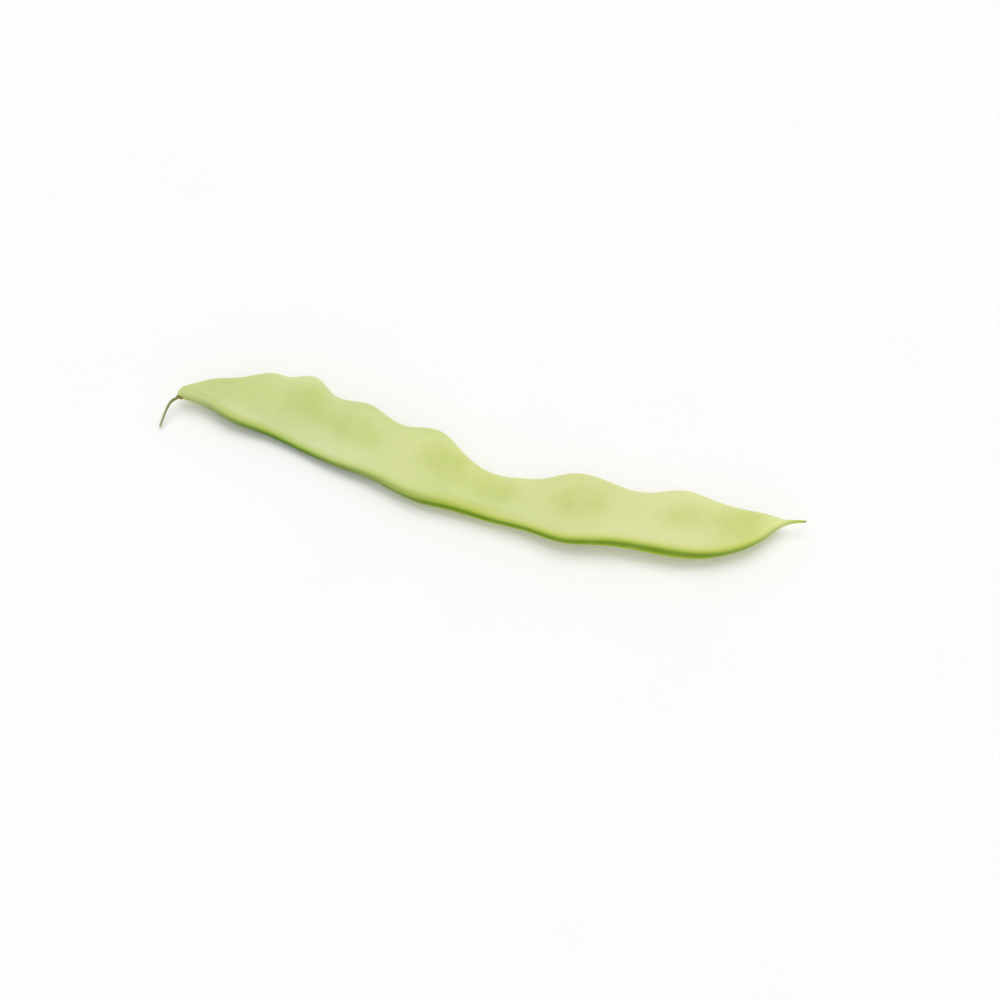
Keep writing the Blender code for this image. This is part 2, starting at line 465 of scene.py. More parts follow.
@dataclass(frozen=True)
class PodSkin:
    """Skin of a fresh bean pod: pale green flesh under thin wax, so light sinks in and it shines softly."""

    pale: str = "D6DE9D"
    deep: str = "C6D187"
    clouds: Noise = Noise(26.0, levels=(0.35, 0.68), soft=True)
    freckles: Noise = Noise(2.2, 3.0, values=(0.95, 1.05))
    # Bands of the skin's own colours, and bands of painted shade and painted light that stand in for how
    # light falls on the wall.
    tints_and_painted_light: tuple[Band, ...] = (
        # Colour along the pod: its own greener beak and tan tip, with a darker stalk end and a paler beak
        # half and beak base that are partly its own tone and partly painted shade and painted light.
        Band(Field.ALONG, (
            (0, "A9B964", 0.55), (6, "B7C470", 0.5), (28, "C0CC80", 0.42), (46, "D2DCA4", 0.3),
            (58, "D6DEAA", 0.3), (76, "CCD58A", 0.32), (112, "CED87A", 0.5), (128, "E2E6AA", 0.4),
            (185, "EAEAB0", 0.5), (203, "D0DA7C", 0.6), (213, "E6ECA6", 0.75), (216.5, "D2DF6C", 0.85),
            (219, "BECE4C", 0.85), (220.2, "B9A468", 0.8))),
        # Painted light: a pale lift just off the seam near the stalk end, where the rounded wall turns away
        # from the light.
        Band(Field.FROM_SEAM, (
            (0.8, "E4ECC0", 0.0), (1.9, "E4ECC0", 0.42), (3.4, "E4ECC0", 0.42), (5.2, "E4ECC0", 0.0)),
            0.2, ((3, 0.5), (8, 1.0), (14, 0.8), (22, 0.0))),
        # Painted light: a pale lift a few millimetres above the seam, where the lower wall turns away from
        # the light.
        Band(Field.FROM_SEAM, (
            (4.4, "E2E8BC", 0.0), (6.0, "E2E8BC", 0.4), (10.0, "DDE4B0", 0.15), (14.0, "DDE4B0", 0.0)),
            0.3, ((6, 0.5), (20, 1.0), (58, 0.8), (70, 0.4), (88, 0.15), (102, 0.45), (112, 0.9),
                  (121, 0.9), (130, 0.2), (138, 0.0))),
        # Painted shade: a darker green a little way in from the upper rim on the beak half, which tilts
        # towards the light.
        Band(Field.FROM_RIM, (
            (0.5, "C6CC6A", 0.0), (2.5, "C6CC6A", 0.16), (8.0, "C6CC6A", 0.16), (13.0, "C6CC6A", 0.0)),
            0.5, ((118, 0.0), (128, 1.0), (204, 1.0), (210, 0.0))),
        Band(Field.SEED, (
            (0.08, "BCC862", 0.0), (0.3, "BCC862", 0.28), (0.6, "B9C65E", 0.5), (1.0, "B9C65E", 0.55)),
            0.55),
        # The seam's own dark olive line, with painted shade on the shoulder beside it on the beak half.
        Band(Field.FROM_SEAM, (
            (0.0, "6C8C00", 1.0), (0.7, "7A9A00", 1.0), (1.2, "9CB42A", 0.9), (1.8, "B6C640", 0.78),
            (2.6, "C8D05C", 0.48), (4.0, "D4DA84", 0.0)),
            0.1, ((60, 0.2), (95, 1.0), (190, 1.0), (200, 0.85), (208, 0.6), (213, 0.3), (220, 0.3))),
        # Painted shade: dark green over the seam and its flank along the lower edge of the stalk half,
        # partly the seam's own greener colour.
        Band(Field.FROM_SEAM, (
            (0.0, "33520A", 1.0), (0.35, "3C5C06", 1.0), (0.9, "66880E", 1.0), (1.5, "527608", 1.0),
            (2.0, "4E7204", 1.0), (2.6, "6C8C10", 0.95), (3.1, "8AA826", 0.85), (3.6, "A8C040", 0.65),
            (4.2, "BACC54", 0.42), (5.4, "C8D46C", 0.0)),
            0.1, ((4, 0.1), (12, 0.45), (20, 0.75), (32, 1.0), (50, 1.0), (66, 0.8), (80, 0.5),
                  (100, 0.15), (118, 0.0))),
        # Painted highlight: a paler line along the upper rim.
        Band(Field.FROM_RIM, ((0.0, "DDE6AE", 0.7), (1.0, "DDE6AE", 0.4), (2.4, "D5DE9C", 0.0)),
             0.0, ((0, 1.0), (165, 1.0), (195, 0.3), (212, 0.0))),
    )
    veins: Veins = Veins()
    vein_colour: str = "E9F0D9"
    vein_strength: float = 0.04
    vein_width: float = 0.12
    vein_start: Range = (2.0, 5.0)
    scuffs: Noise = Noise(5.5, 5.0, levels=(0.70, 0.80), values=(0.0, 0.35), roughness=0.62, soft=True)
    scuff_colour: str = "B39A5E"
    pore_spacing: float = 1.5
    pore_width: float = 0.22
    grain: Noise = Noise(0.7, 3.0, values=(0.45, 0.6))
    grain_depth: float = 0.025
    light_reach: float = 0.5
    wax: str = "E6EFC0"

    def material(self) -> Material:
        """Builds the material: clouded greens, bands by place that hold the seam's and seeds' own greens
        and also painted shade and painted highlights, fine veins, scuffs, pores and grain.

        Returns:
            The skin's material.
        """
        material, tree, place = open_material("waxy_bean_skin")
        colour = self.clouded(tree, place)
        for band in self.tints_and_painted_light:
            colour = band.lay_over(tree, place, colour)
        colour = add(tree, "ShaderNodeMix", {
            "Factor": self.scuffs.lay(tree, place)[0], "A": self.veined(tree, colour),
            "B": linear(self.scuff_colour)}, data_type="RGBA")
        rough, grain = self.grain.lay(tree, place)
        feed(tree.nodes[SHADER], {
            "Base Color": colour, "Roughness": rough, "Normal": self.fine_relief(tree, place, grain),
            "IOR": 1.42, "Specular IOR Level": 0.25, "Subsurface Weight": 0.25,
            "Subsurface Radius": (0.9, 1.0, 0.35), "Subsurface Scale": self.light_reach * MM,
            "Sheen Weight": 0.015, "Sheen Roughness": 0.45, "Sheen Tint": linear(self.wax)})
        return material

    def clouded(self, tree: Tree, place: Socket) -> Node:
        """Lays down the ground colour, pale and deeper green in broad soft clouds.

        Args:
            tree: the material's tree.
            place: Object coordinates.

        Returns:
            The node that holds the colour.
        """
        ground = add(tree, "ShaderNodeMix", {
            "Factor": self.clouds.lay(tree, place)[0], "A": linear(self.pale), "B": linear(self.deep)},
            data_type="RGBA")
        return add(tree, "ShaderNodeMix", {
            "Factor": 1.0, "A": ground, "B": self.freckles.lay(tree, place)[0]},
            data_type="RGBA", blend_type="MULTIPLY")

    def veined(self, tree: Tree, below: Node) -> Node:
        """Draws the faint net of veins, which starts a little way off the seam.

        Args:
            tree: the material's tree.
            below: the node that holds the colour so far.

        Returns:
            The node that holds the new colour.
        """
        net = self.veins.net(tree, self.veins.spacing)
        line = add(tree, "ShaderNodeMapRange", {"Value": net, "From Min": self.vein_width, "From Max": 0.0},
                   interpolation_type="SMOOTHSTEP")
        start, full = self.vein_start
        clear = add(tree, "ShaderNodeMapRange", {
            "Value": Field.FROM_SEAM.read(tree), "From Min": start, "From Max": full,
            "To Max": self.vein_strength})
        factor = add(tree, "ShaderNodeMath", {0: line, 1: clear}, operation="MULTIPLY")
        return add(tree, "ShaderNodeMix", {"Factor": factor, "A": below, "B": linear(self.vein_colour)},
                   data_type="RGBA")

    def fine_relief(self, tree: Tree, place: Socket, grain: Node) -> Node:
        """Gives the skin its pores and grain, which are too fine for its mesh.

        Args:
            tree: the material's tree.
            place: Object coordinates.
            grain: the noise that the gloss also follows.

        Returns:
            The bump node.
        """
        pores = add(tree, "ShaderNodeTexVoronoi", {"Vector": place, "Scale": 1 / (self.pore_spacing * MM)})
        pits = add(tree, "ShaderNodeMapRange", {"Value": pores, "From Max": self.pore_width},
                   interpolation_type="SMOOTHSTEP")
        height = add(tree, "ShaderNodeMath", {0: pits, 1: grain}, operation="ADD")
        return add(tree, "ShaderNodeBump", {
            "Height": height, "Distance": self.grain_depth * MM, "Strength": 0.8})


@dataclass(frozen=True)
class StalkSkin:
    """Green stalk with fibres along it: dull, olive by the collar, paler and greyer at its snapped end.

    The streaks' size and the torn end are in shares of the stalk's length.
    """

    near: str = "66740F"
    far: str = "A2A67C"
    fibre: str = "BDBC8A"
    wood: str = "CDBB8A"
    streaks: Noise = Noise(0.2, 3.0, levels=(0.48, 0.75), values=(0.0, 0.5), soft=True)
    torn: Range = (0.965, 0.99)
    torn_strength: float = 0.85
    grain: Noise = Noise(0.25, 3.0, values=(0.55, 0.78))
    grain_depth: float = 0.03
    light_reach: float = 0.5

    def material(self) -> Material:
        """Builds the material: a slow change of green along the stalk, streaks, and a pale torn end.

        Returns:
            The stalk's material.
        """
        material, tree, place = open_material("stalk_fibre")
        along = Field.STALK_SHARE.read(tree)
        slow = add(tree, "ShaderNodeMix", {"Factor": along, "A": linear(self.near), "B": linear(self.far)},
                   data_type="RGBA")
        ways = add(tree, "ShaderNodeCombineXYZ", {"X": along, "Y": Field.STALK_RIB.read(tree)})
        striped = add(tree, "ShaderNodeMix", {
            "Factor": self.streaks.lay(tree, ways, 1.0)[0], "A": slow, "B": linear(self.fibre)},
            data_type="RGBA")
        start, full = self.torn
        torn = add(tree, "ShaderNodeMapRange", {
            "Value": along, "From Min": start, "From Max": full, "To Max": self.torn_strength},
            interpolation_type="SMOOTHSTEP")
        whole = add(tree, "ShaderNodeMix", {"Factor": torn, "A": striped, "B": linear(self.wood)},
                    data_type="RGBA")
        rough, grain = self.grain.lay(tree, place)
        bump = add(tree, "ShaderNodeBump", {
            "Height": grain, "Distance": self.grain_depth * MM, "Strength": 0.8})
        feed(tree.nodes[SHADER], {
            "Base Color": whole, "Roughness": rough, "Normal": bump, "Subsurface Weight": 0.1,
            "Subsurface Scale": self.light_reach * MM})
        return material


@dataclass(frozen=True)
class DryCollar:
    """Withered collar of the flower: olive brown paper with redder patches and tan flecks, quite dull."""

    brown: str = "7C7E34"
    red: str = "8E7442"
    fleck: str = "E2D2A0"
    patches: Noise = Noise(0.8, 3.0, levels=(0.4, 0.6), soft=True)
    flecks: Noise = Noise(0.45, 4.0, levels=(0.55, 0.68), values=(0.0, 0.7), soft=True)
    gloss: Noise = Noise(0.45, 4.0, values=(0.72, 0.9))
    crinkle_depth: float = 0.06

    def material(self) -> Material:
        """Builds the material: olive and red-brown patches with tan papery flecks and a crinkle.

        Returns:
            The collar's material.
        """
        material, tree, place = open_material("dry_calyx_paper")
        mixed = add(tree, "ShaderNodeMix", {
            "Factor": self.patches.lay(tree, place)[0], "A": linear(self.brown), "B": linear(self.red)},
            data_type="RGBA")
        whole = add(tree, "ShaderNodeMix", {
            "Factor": self.flecks.lay(tree, place)[0], "A": mixed, "B": linear(self.fleck)},
            data_type="RGBA")
        rough, crinkle = self.gloss.lay(tree, place)
        bump = add(tree, "ShaderNodeBump", {
            "Height": crinkle, "Distance": self.crinkle_depth * MM, "Strength": 1.0})
        feed(tree.nodes[SHADER], {"Base Color": whole, "Roughness": rough, "Normal": bump})
        return material


@dataclass(frozen=True)
class PaperSweep:
    """Matt white paper under and behind the pod, with the faintest unevenness."""

    white: str = "FCFCFC"
    shade: str = "F9F9F9"
    clouds: Noise = Noise(60.0)

    def material(self) -> Material:
        """Builds the material: two near whites in soft clouds, quite matt.

        Returns:
            The paper's material.
        """
        material, tree, place = open_material("matt_white_paper")
        paper = add(tree, "ShaderNodeMix", {
            "Factor": self.clouds.lay(tree, place)[0], "A": linear(self.white), "B": linear(self.shade)},
            data_type="RGBA")
        feed(tree.nodes[SHADER], {"Base Color": paper, "Roughness": 0.9, "Specular IOR Level": 0.2})
        return material


@dataclass(frozen=True)
class Seed:
    """One seed's swelling: its station, its place across the half width, its height and its tint."""

    station: float
    across: float
    height: float
    tint: float = 0.3


@dataclass(frozen=True)
class Pod:
    """The pod, lofted between its smooth seamed edge and the edge that waves over the seeds."""

    end: float = 220.0
    ring_runs: tuple[tuple[float, float, int], ...] = (
        (2.2, 4.0, 24), (4.0, 10.0, 24), (10.0, 206.0, 350), (206.0, 220.0, 44))
    sides: int = 192
    lower_edge: Rail = (
        (2.2, -0.35), (5, -0.6), (10, -1.5), (20, -5.2), (30, -6.6), (45, -9.9), (60, -14.2),
        (75, -17.5), (90, -22.2), (100, -22.9), (120, -24.5), (130, -25.5), (142, -27.8),
        (155, -26.0), (170, -24.9), (180, -24.6), (190, -22.5), (200, -17.5), (207.5, -10.7),
        (213, -3.9), (216, -2.0), (220, -0.9))
    upper_edge: Rail = (
        (2.2, -0.15), (2.5, 0.8), (3.0, 2.0), (3.7, 3.3), (4.8, 4.5), (8, 6.7), (12, 9.1), (20, 12.0),
        (30, 16.4), (36, 16.2), (43, 18.2), (48, 16.6), (53, 12.6), (64, 11.1), (70, 10.1),
        (76, 7.1), (83, 5.0), (90, 5.9), (97, 5.5), (105, 0.2), (117, -5.8), (130, -5.6),
        (136, -4.3), (143, -0.7), (152, 0.6), (162, -1.5), (171, -0.7), (180, 3.0), (187, 1.8),
        (195, -0.1), (207, -0.9), (213, -1.6), (216, -1.0), (220, -0.2))
    fan: Rail = (
        (2.2, -2.4), (2.5, -2.9), (3.0, -3.3), (3.7, -3.4), (4.8, -3.1), (8, -2.5), (12, -2.1),
        (20, -0.8), (28, 0), (40, 0), (190, 0), (203, 2.0), (213, 1.0), (220, 0))
    thickness: Rail = (
        (2.2, 1.7), (3.0, 3.0), (5, 4.6), (12, 6.0), (25, 6.8), (45, 7.2), (110, 7.2), (170, 7.0),
        (190, 6.2), (203, 4.8), (209, 3.6), (213, 2.3), (216, 1.6), (220, 0.8))
    height: Rail = (
        (2.2, 5.2), (20, 4.9), (44, 4.2), (66, 4.9), (90, 5.2), (104, 4.9), (118, 4.25), (131, 4.8),
        (147, 5.5), (164, 5.15), (181, 4.3), (200, 4.7), (220, 4.7))
    twist: Rail = ((2.2, 4), (60, 7), (120, 0), (180, -5), (220, -4))
    roundness: float = 2.3
    seeds: tuple[Seed, ...] = (
        Seed(27, 0.15, 0.9), Seed(46, 0.25, 1.35, 1.0), Seed(65, 0.1, 1.3, 0.9),
        Seed(97, 0.15, 1.35, 1.0), Seed(118, 0.0, 1.0, 0.6), Seed(145, 0.0, 1.4, 1.3),
        Seed(162, 0.05, 1.1), Seed(180, 0.08, 1.35, 0.8), Seed(198, 0.1, 0.9, 0.6))
    seed_length: float = 15.0
    seed_width: float = 11.0
    swell_rounding: float = 0.6
    seam_rise: Rail = (
        (2.2, 0), (8, -0.4), (20, -0.8), (60, -0.9), (100, 0.4), (120, 0.25), (140, 0.27), (155, 0.4),
        (168, 0.72), (180, 0.8), (190, 0.4), (200, 0), (210, -0.1), (220, 0))
    seam_depth: float = 0.45
    seam_width: float = 1.2
    lip_height: float = 0.2
    lip_width: float = 1.0
    lip_offset: float = 1.4
    seam_full_from: float = 10.0
    beak_tip: float = 0.3
    rim_depth: float = 0.1
    rim_width: float = 0.9
    veins: Veins = Veins()
    vein_height: float = 0.008
    vein_width: float = 0.14
    waves: Noise = Noise(9.0, values=(-0.5, 0.5))
    wave_height: float = 0.16
    relief_start: Range = (1.5, 6.0)
    skin: PodSkin = PodSkin()

    def stations(self) -> Array:
        """Where the sections stand along the lower edge."""
        runs = [np.linspace(a, b, n, endpoint=False) for a, b, n in self.ring_runs]
        return np.append(np.concatenate(runs), self.end)

    def frames(self, stations: Array) -> tuple[Array, Array, Array, Array]:
        """Places a section at each station.

        Args:
            stations: places along the lower edge.

        Returns:
            Middle, half width, direction across, and direction out of the face.
        """
        fan = natural_spline(self.fan, stations)
        lower, upper = natural_spline(self.lower_edge, stations), natural_spline(self.upper_edge, stations)
        height = natural_spline(self.height, stations)
        twist = np.radians(natural_spline(self.twist, stations))
        rise = np.hypot(fan, upper - lower) / 2 * np.tan(twist)
        low = np.stack([stations, lower, height - rise], -1)
        high = np.stack([stations + fan, upper, height + rise], -1)
        middle, across = (low + high) / 2, (high - low) / 2
        along = unit(np.gradient(middle, stations, axis=0))
        return middle, np.linalg.norm(across, axis=-1), unit(across), unit(np.cross(along, across))

    def wall(self) -> tuple[Array, dict[Field, Array]]:
        """Shapes the pod's outer wall.

        Returns:
            Points as (ring, place round it, xyz) in the pod's frame, and the fields at each.
        """
        stations = self.stations()
        middle, half_width, across, outward = self.frames(stations)
        half_thickness = natural_spline(self.thickness, stations) / 2
        rise = natural_spline(self.seam_rise, stations)
        base = np.linspace(0, 2 * math.pi, self.sides, endpoint=False)
        share = rise / half_thickness
        shift = np.arcsin(np.sign(share) * np.abs(share) ** (self.roundness / 2))
        angle = base - shift[:, None] * np.clip(-np.cos(base), 0, None) ** 2
        cos, sin = np.cos(angle), np.sin(angle)
        v = np.sign(cos) * np.abs(cos) ** (2 / self.roundness) * half_width[:, None]
        n = np.sign(sin) * np.abs(sin) ** (2 / self.roundness) * half_thickness[:, None]
        along = middle[:, :1] + across[:, :1] * v
        swelling = np.zeros_like(v)
        closeness = np.zeros_like(v)
        for seed in self.seeds:
            seed_v = seed.across * np.interp(seed.station, stations, half_width)
            near = hump(along - seed.station, self.seed_length) * hump(v - seed_v, self.seed_width)
            swelling += seed.height * near
            closeness += seed.tint * near
        from_seam = n - rise[:, None]
        groove = self.seam_depth * hump(from_seam, self.seam_width)
        lips = self.lip_height * hump(np.abs(from_seam) - self.lip_offset, self.lip_width)
        rim = self.rim_depth * hump(n, self.rim_width)
        fade = np.clip(half_width / self.seam_full_from, 0, 1)[:, None]
        v = v + np.where(cos < 0, groove - lips, -rim) * fade
        n = n + swelling * np.sign(sin) * np.abs(sin) ** self.swell_rounding
        points = middle[:, None] + across[:, None] * v[..., None] + outward[:, None] * n[..., None]
        return points, {
            Field.ALONG: along,
            Field.FROM_SEAM: self.round_from(points, self.sides // 2),
            Field.FROM_RIM: self.round_from(points, 0),
            Field.SEED: closeness,
        }

    def round_from(self, points: Array, row: int) -> Array:
        """Measures how far each point is from one row, the shorter way round its section.

        Args:
            points: the wall's points.
            row: the row's index round the section.

        Returns:
            Millimetres from that row at each point.
        """
        turned = np.roll(points, -row, axis=1)
        steps = np.linalg.norm(turned - np.roll(turned, -1, axis=1), axis=-1)
        one_way = np.concatenate([np.zeros((len(points), 1)), np.cumsum(steps, axis=1)[:, :-1]], axis=1)
        other_way = steps.sum(1, keepdims=True) - one_way
        return np.roll(np.minimum(one_way, other_way), row, axis=1)

    def neck(self) -> Array:
        """The pod's first section, where the collar sits."""
        return self.wall()[0][0]

    def wall_mesh(self) -> Mesh:
        """Makes the smooth wall, resting on the surface, with its fields as attributes.

        Returns:
            The wall's mesh.
        """
        points, fields = self.wall()
        points = points + PLACE
        points[..., 2] = np.maximum(points[..., 2], 0.0)
        first, last = points[0].mean(0), points[-1].mean(0)
        last = last + unit(last - points[-2].mean(0)) * self.beak_tip
        mesh = tube_mesh("pod_wall", points * MM, (first * MM, last * MM))
        for field, values in fields.items():
            ends = [values[0].mean(), values[-1].mean()]
            data = mesh.attributes.new(field.value, "FLOAT", "POINT").data
            data.foreach_set("value", np.append(values.ravel(), ends).astype(np.float32))
        return mesh

    def relief(self, tree: Tree, given: dict[str, Socket]) -> Node:
        """Waves the wall and raises its veins along the skin's own directions.

        Args:
            tree: the pod's tree.
            given: the tree's inputs.

        Returns:
            The node that holds the finished wall.
        """
        place = add(tree, "GeometryNodeInputPosition")
        start, full = self.relief_start
        clear = add(tree, "ShaderNodeMapRange", {
            "Value": Field.FROM_SEAM.read(tree), "From Min": start, "From Max": full},
            interpolation_type="SMOOTHSTEP")
        raised = add(tree, "ShaderNodeMath", {0: self.waves.lay(tree, place)[0], 1: given["Wave Height"]},
                     operation="MULTIPLY")
        net = self.veins.net(tree, given["Vein Spacing mm"])
        ridge = add(tree, "ShaderNodeMapRange", {
            "Value": net, "From Min": given["Vein Width"], "From Max": 0.0},
            interpolation_type="SMOOTHSTEP")
        lifted = add(tree, "ShaderNodeMath", {0: ridge, 1: given["Vein Height"], 2: raised},
                     operation="MULTIPLY_ADD")
        height = add(tree, "ShaderNodeMath", {0: lifted, 1: clear}, operation="MULTIPLY")
        normal = add(tree, "GeometryNodeInputNormal")
        push = add(tree, "ShaderNodeVectorMath", {0: normal, "Scale": height}, operation="SCALE")
        moved = add(tree, "GeometryNodeSetPosition", {"Geometry": given["Shape"], "Offset": push})
        lowest = (-1.0, -1.0, 0.0)
        floor = add(tree, "ShaderNodeVectorMath", {0: place, 1: lowest}, operation="MAXIMUM")
        return add(tree, "GeometryNodeSetPosition", {"Geometry": moved, "Position": floor})

    def build(self) -> None:
        """Makes the finished pod and dresses it in its skin."""
        shape = Shape("pod_relief", {
            "Vein Spacing mm": self.veins.spacing, "Vein Width": self.vein_width,
            "Vein Height": self.vein_height * MM, "Wave Height": self.wave_height * MM})
        wall = self.relief(shape.tree, shape.given)
        fit_out(shape.grow("bean_pod", self.wall_mesh(), wall, self.skin.material()), "pod")


@dataclass(frozen=True)
class Stalk:
    """The thin stalk: it leaves the collar, curls down beside the pod and ends where it was snapped.

    Its root, flare and tear are placed by shares of its length.
    """

    path: Path3 = (
        (-0.5, -1.3, 5.1), (-0.85, -1.6, 5.05), (-1.25, -2.0, 4.95), (-1.7, -2.8, 4.75),
        (-2.05, -3.8, 4.45), (-2.4, -5.4, 3.95), (-2.7, -7.3, 3.2), (-3.0, -8.9, 2.35),
        (-3.2, -10.2, 1.55), (-3.25, -11.1, 1.15))
    root: tuple[float, float, float] = (0.2, -0.85, 5.15)
    root_share: float = 0.06
    root_size: float = 0.6
    thick: float = 1.1
    thin: float = 0.8
    taper: float = 4.0
    flare: float = 0.12
    flare_from: float = 0.88
    turn: float = 1.4
    ribs: int = 5
    rib_depth: float = 0.07
    steps: int = 120
    sides: int = 40
    crinkles: Noise = Noise(0.9, 3.0, values=(-0.5, 0.5))
    crinkle_height: float = 0.05
    shreds: Noise = Noise(0.35, 1.0)
    tear: float = 0.35
    tear_from: float = 0.995
    skin: StalkSkin = StalkSkin()

    def route(self) -> bpy.types.Curve:
        """Makes the curve that the stalk follows from inside the collar, with its radius and its turn.

        Returns:
            The curve, whose points carry both.
        """
        stops = (self.root, *self.path)
        known = np.linspace(0, 1, len(stops))
        at = np.linspace(0, 1, self.steps)
        places = [natural_spline(tuple(zip(known, axis)), at) for axis in zip(*stops)]
        points = in_frame(np.stack(places, -1))
        gone = np.append(0, np.cumsum(np.linalg.norm(np.diff(points, axis=0), axis=1)))
        share = gone / gone[-1]
        curve = bpy.data.curves.new("stalk_route", "CURVE")
        curve.dimensions = "3D"
        spline = curve.splines.new("POLY")
        spline.points.add(len(points) - 1)
        spline.points.foreach_set("co", np.column_stack([points, np.ones(len(points))]).ravel())
        spline.points.foreach_set("radius", self.radius(share) * MM)
        spline.points.foreach_set("tilt", self.turn * share)
        return curve

    def radius(self, share: Array) -> Array:
        """How thick the stalk is: it thins off, flares where it was snapped, and starts slim in the collar.

        Args:
            share: how far along the stalk each point is, from 0 to 1.

        Returns:
            The radius at each point.
        """
        body = (self.thin + (self.thick - self.thin) * np.exp(-self.taper * share)) / 2
        end = np.clip((share - self.flare_from) / (1 - self.flare_from), 0, 1)
        flared = body * (1 + self.flare * end**2 * (3 - 2 * end))
        return flared * np.interp(share, (0, self.root_share), (self.root_size, 1))

    def profile(self, tree: Tree, given: dict[str, Socket]) -> Node:
        """Draws the stalk's ribbed round, whose points carry how high on a rib they are.

        Args:
            tree: the stalk's tree.
            given: the tree's inputs.

        Returns:
            The node that holds the closed outline.
        """
        ring = add(tree, "GeometryNodeCurvePrimitiveCircle", {"Resolution": given["Sides"], "Radius": 1.0})
        place = add(tree, "GeometryNodeInputPosition")
        parts = add(tree, "ShaderNodeSeparateXYZ", {"Vector": place})
        turn = add(tree, "ShaderNodeMath", {0: parts.outputs["Y"], 1: parts.outputs["X"]},
                   operation="ARCTAN2")
        ribs = add(tree, "ShaderNodeMath", {0: turn, 1: given["Ribs"]}, operation="MULTIPLY")
        wave = add(tree, "ShaderNodeMath", {0: ribs}, operation="COSINE")
        size = add(tree, "ShaderNodeMath", {0: wave, 1: given["Rib Depth"], 2: 1.0},
                   operation="MULTIPLY_ADD")
        ribbed = add(tree, "ShaderNodeVectorMath", {0: place, "Scale": size}, operation="SCALE")
        named = add(tree, "GeometryNodeStoreNamedAttribute", {
            "Geometry": ring, "Name": Field.STALK_RIB.value, "Value": wave},
            data_type="FLOAT", domain="POINT")
        return add(tree, "GeometryNodeSetPosition", {"Geometry": named, "Position": ribbed})

    def sweep(self, tree: Tree, given: dict[str, Socket]) -> Node:
        """Sweeps the ribbed round along the route, crinkles it and tears its end.

        Args:
            tree: the stalk's tree.
            given: the tree's inputs.

        Returns:
            The node that holds the finished stalk.
        """
        marked = add(tree, "GeometryNodeStoreNamedAttribute", {
            "Geometry": given["Shape"], "Name": Field.STALK_SHARE.value,
            "Value": add(tree, "GeometryNodeSplineParameter")}, data_type="FLOAT", domain="POINT")
        tube = add(tree, "GeometryNodeCurveToMesh", {
            "Curve": marked, "Profile Curve": self.profile(tree, given),
            "Scale": add(tree, "GeometryNodeInputRadius"), "Fill Caps": True})
        place = add(tree, "GeometryNodeInputPosition")
        fine = add(tree, "ShaderNodeMath", {
            0: self.crinkles.lay(tree, place)[0], 1: given["Crinkle Height"]}, operation="MULTIPLY")
        normal = add(tree, "GeometryNodeInputNormal")
        push = add(tree, "ShaderNodeVectorMath", {0: normal, "Scale": fine}, operation="SCALE")
        crinkled = add(tree, "GeometryNodeSetPosition", {"Geometry": tube, "Offset": push})
        last = add(tree, "ShaderNodeMath", {0: Field.STALK_SHARE.read(tree), 1: given["Tear From"]},
                   operation="GREATER_THAN")
        depth = add(tree, "ShaderNodeMath", {0: self.shreds.lay(tree, place)[0], 1: given["Tear"]},
                    operation="MULTIPLY")
        reach = add(tree, "ShaderNodeCombineXYZ", {"Y": depth})
        return add(tree, "GeometryNodeSetPosition", {
            "Geometry": crinkled, "Selection": last, "Offset": reach})

    def build(self) -> None:
        """Makes the finished stalk and dresses it."""
        shape = Shape("stalk_sweep", {
            "Ribs": self.ribs, "Rib Depth": self.rib_depth, "Sides": self.sides,
            "Crinkle Height": self.crinkle_height * MM, "Tear": self.tear * MM,
            "Tear From": self.tear_from})
        stalk = self.sweep(shape.tree, shape.given)
        fit_out(shape.grow("bean_stalk", self.route(), stalk, self.skin.material()), "stem")


